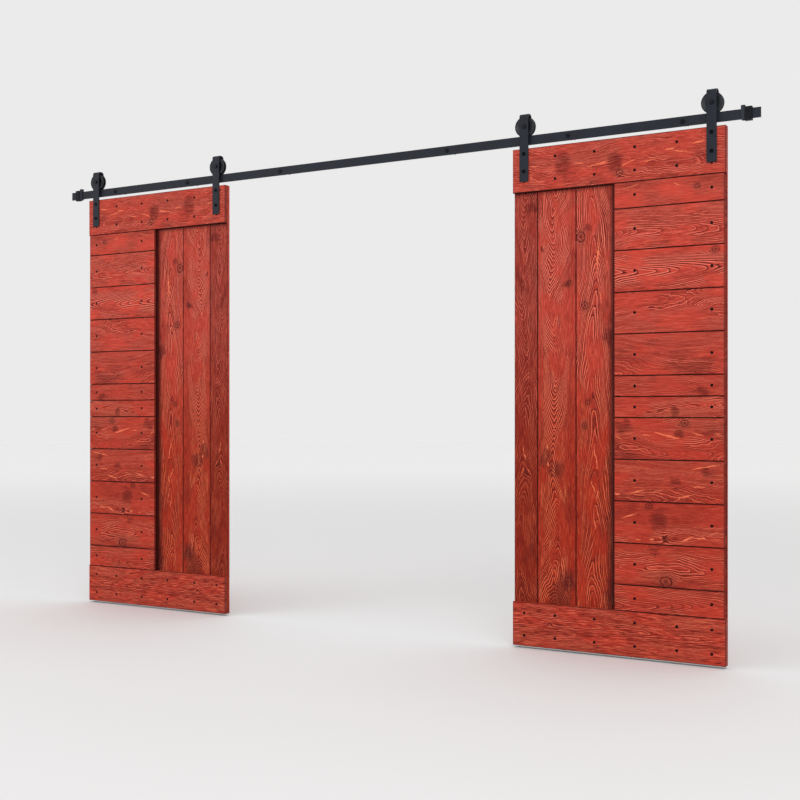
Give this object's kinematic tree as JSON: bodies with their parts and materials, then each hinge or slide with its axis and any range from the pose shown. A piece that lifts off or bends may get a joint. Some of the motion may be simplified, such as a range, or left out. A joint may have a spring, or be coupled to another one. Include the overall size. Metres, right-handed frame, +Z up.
{
  "type": "double sliding barn door",
  "caption": "Pair of plank door leaves hung by grooved wheels on a flat wall rail, rolling apart to the rail's end stops.",
  "frame": {"origin": "on the wall plane, at the height of the rail's centre line, at the middle of its length", "axes": "+X along the rail to the right as seen from the front, +Y into the wall, +Z up"},
  "size_m": [3.658, 0.1125, 2.2833],
  "materials": {
    "vertical_planks": "red stain, satin",
    "horizontal_planks": "red stain, satin",
    "boards": "red stain, satin",
    "rail_steel": "satin black powder coat",
    "black_steel": "satin black powder coat",
    "wheel_nylon": "black nylon",
    "bumper_rubber": "matt black",
    "bearing_steel": "ground steel"
  },
  "bodies": {
    "rail": {"rail_bar": "rail_steel", "rail_spacers": "black_steel", "lag_screws": "black_steel", "end_stops": "black_steel", "stop_bumpers": "bumper_rubber", "stop_set_screws": "black_steel"},
    "left_leaf": {"left_back_plank_1": "vertical_planks", "left_back_plank_2": "vertical_planks", "left_back_plank_3": "vertical_planks", "left_back_plank_4": "vertical_planks", "left_back_plank_5": "vertical_planks", "left_back_plank_6": "vertical_planks", "left_front_plank_1": "horizontal_planks", "left_front_plank_2": "horizontal_planks", "left_front_plank_3": "horizontal_planks", "left_front_plank_4": "horizontal_planks", "left_front_plank_5": "horizontal_planks", "left_front_plank_6": "horizontal_planks", "left_front_plank_7": "horizontal_planks", "left_front_plank_8": "horizontal_planks", "left_front_plank_9": "horizontal_planks", "left_front_plank_10": "horizontal_planks", "left_front_plank_11": "horizontal_planks", "left_front_plank_12": "horizontal_planks", "left_top_board": "boards", "left_bottom_board": "boards", "left_inner_strap": "black_steel", "left_outer_strap": "black_steel", "left_strap_bolts": "black_steel", "left_axle_bolts": "black_steel", "left_bearing_rings": "bearing_steel"},
    "right_leaf": {"right_back_plank_1": "vertical_planks", "right_back_plank_2": "vertical_planks", "right_back_plank_3": "vertical_planks", "right_back_plank_4": "vertical_planks", "right_back_plank_5": "vertical_planks", "right_back_plank_6": "vertical_planks", "right_front_plank_1": "horizontal_planks", "right_front_plank_2": "horizontal_planks", "right_front_plank_3": "horizontal_planks", "right_front_plank_4": "horizontal_planks", "right_front_plank_5": "horizontal_planks", "right_front_plank_6": "horizontal_planks", "right_front_plank_7": "horizontal_planks", "right_front_plank_8": "horizontal_planks", "right_front_plank_9": "horizontal_planks", "right_front_plank_10": "horizontal_planks", "right_front_plank_11": "horizontal_planks", "right_front_plank_12": "horizontal_planks", "right_top_board": "boards", "right_bottom_board": "boards", "right_inner_strap": "black_steel", "right_outer_strap": "black_steel", "right_strap_bolts": "black_steel", "right_axle_bolts": "black_steel", "right_bearing_rings": "bearing_steel"},
    "left_inner_wheel": {"left_inner_wheel": "wheel_nylon"},
    "left_outer_wheel": {"left_outer_wheel": "wheel_nylon"},
    "right_inner_wheel": {"right_inner_wheel": "wheel_nylon"},
    "right_outer_wheel": {"right_outer_wheel": "wheel_nylon"}
  },
  "joints": [
    {"name": "left_leaf_slide", "type": "slide", "parent": "rail", "child": "left_leaf", "axis": [1, 0, 0], "range_m": [-0.074, 0.7795]},
    {"name": "right_leaf_slide", "type": "slide", "parent": "rail", "child": "right_leaf", "axis": [1, 0, 0], "range_m": [-0.7795, 0.074]},
    {"name": "left_inner_wheel_spin", "type": "hinge", "parent": "left_leaf", "child": "left_inner_wheel", "pos_m": [-0.835, -0.037, 0.0593], "axis": [0, 1, 0], "range_deg": [-1200, 1200]},
    {"name": "left_outer_wheel_spin", "type": "hinge", "parent": "left_leaf", "child": "left_outer_wheel", "pos_m": [-1.641, -0.037, 0.0593], "axis": [0, 1, 0], "range_deg": [-1200, 1200]},
    {"name": "right_inner_wheel_spin", "type": "hinge", "parent": "right_leaf", "child": "right_inner_wheel", "pos_m": [0.835, -0.037, 0.0593], "axis": [0, 1, 0], "range_deg": [-1200, 1200]},
    {"name": "right_outer_wheel_spin", "type": "hinge", "parent": "right_leaf", "child": "right_outer_wheel", "pos_m": [1.641, -0.037, 0.0593], "axis": [0, 1, 0], "range_deg": [-1200, 1200]}
  ],
  "couplings": [
    {"joint": "left_inner_wheel_spin", "follows": "left_leaf_slide", "rad_per_m": 25.641},
    {"joint": "left_outer_wheel_spin", "follows": "left_leaf_slide", "rad_per_m": 25.641},
    {"joint": "right_inner_wheel_spin", "follows": "right_leaf_slide", "rad_per_m": 25.641},
    {"joint": "right_outer_wheel_spin", "follows": "right_leaf_slide", "rad_per_m": 25.641}
  ]
}
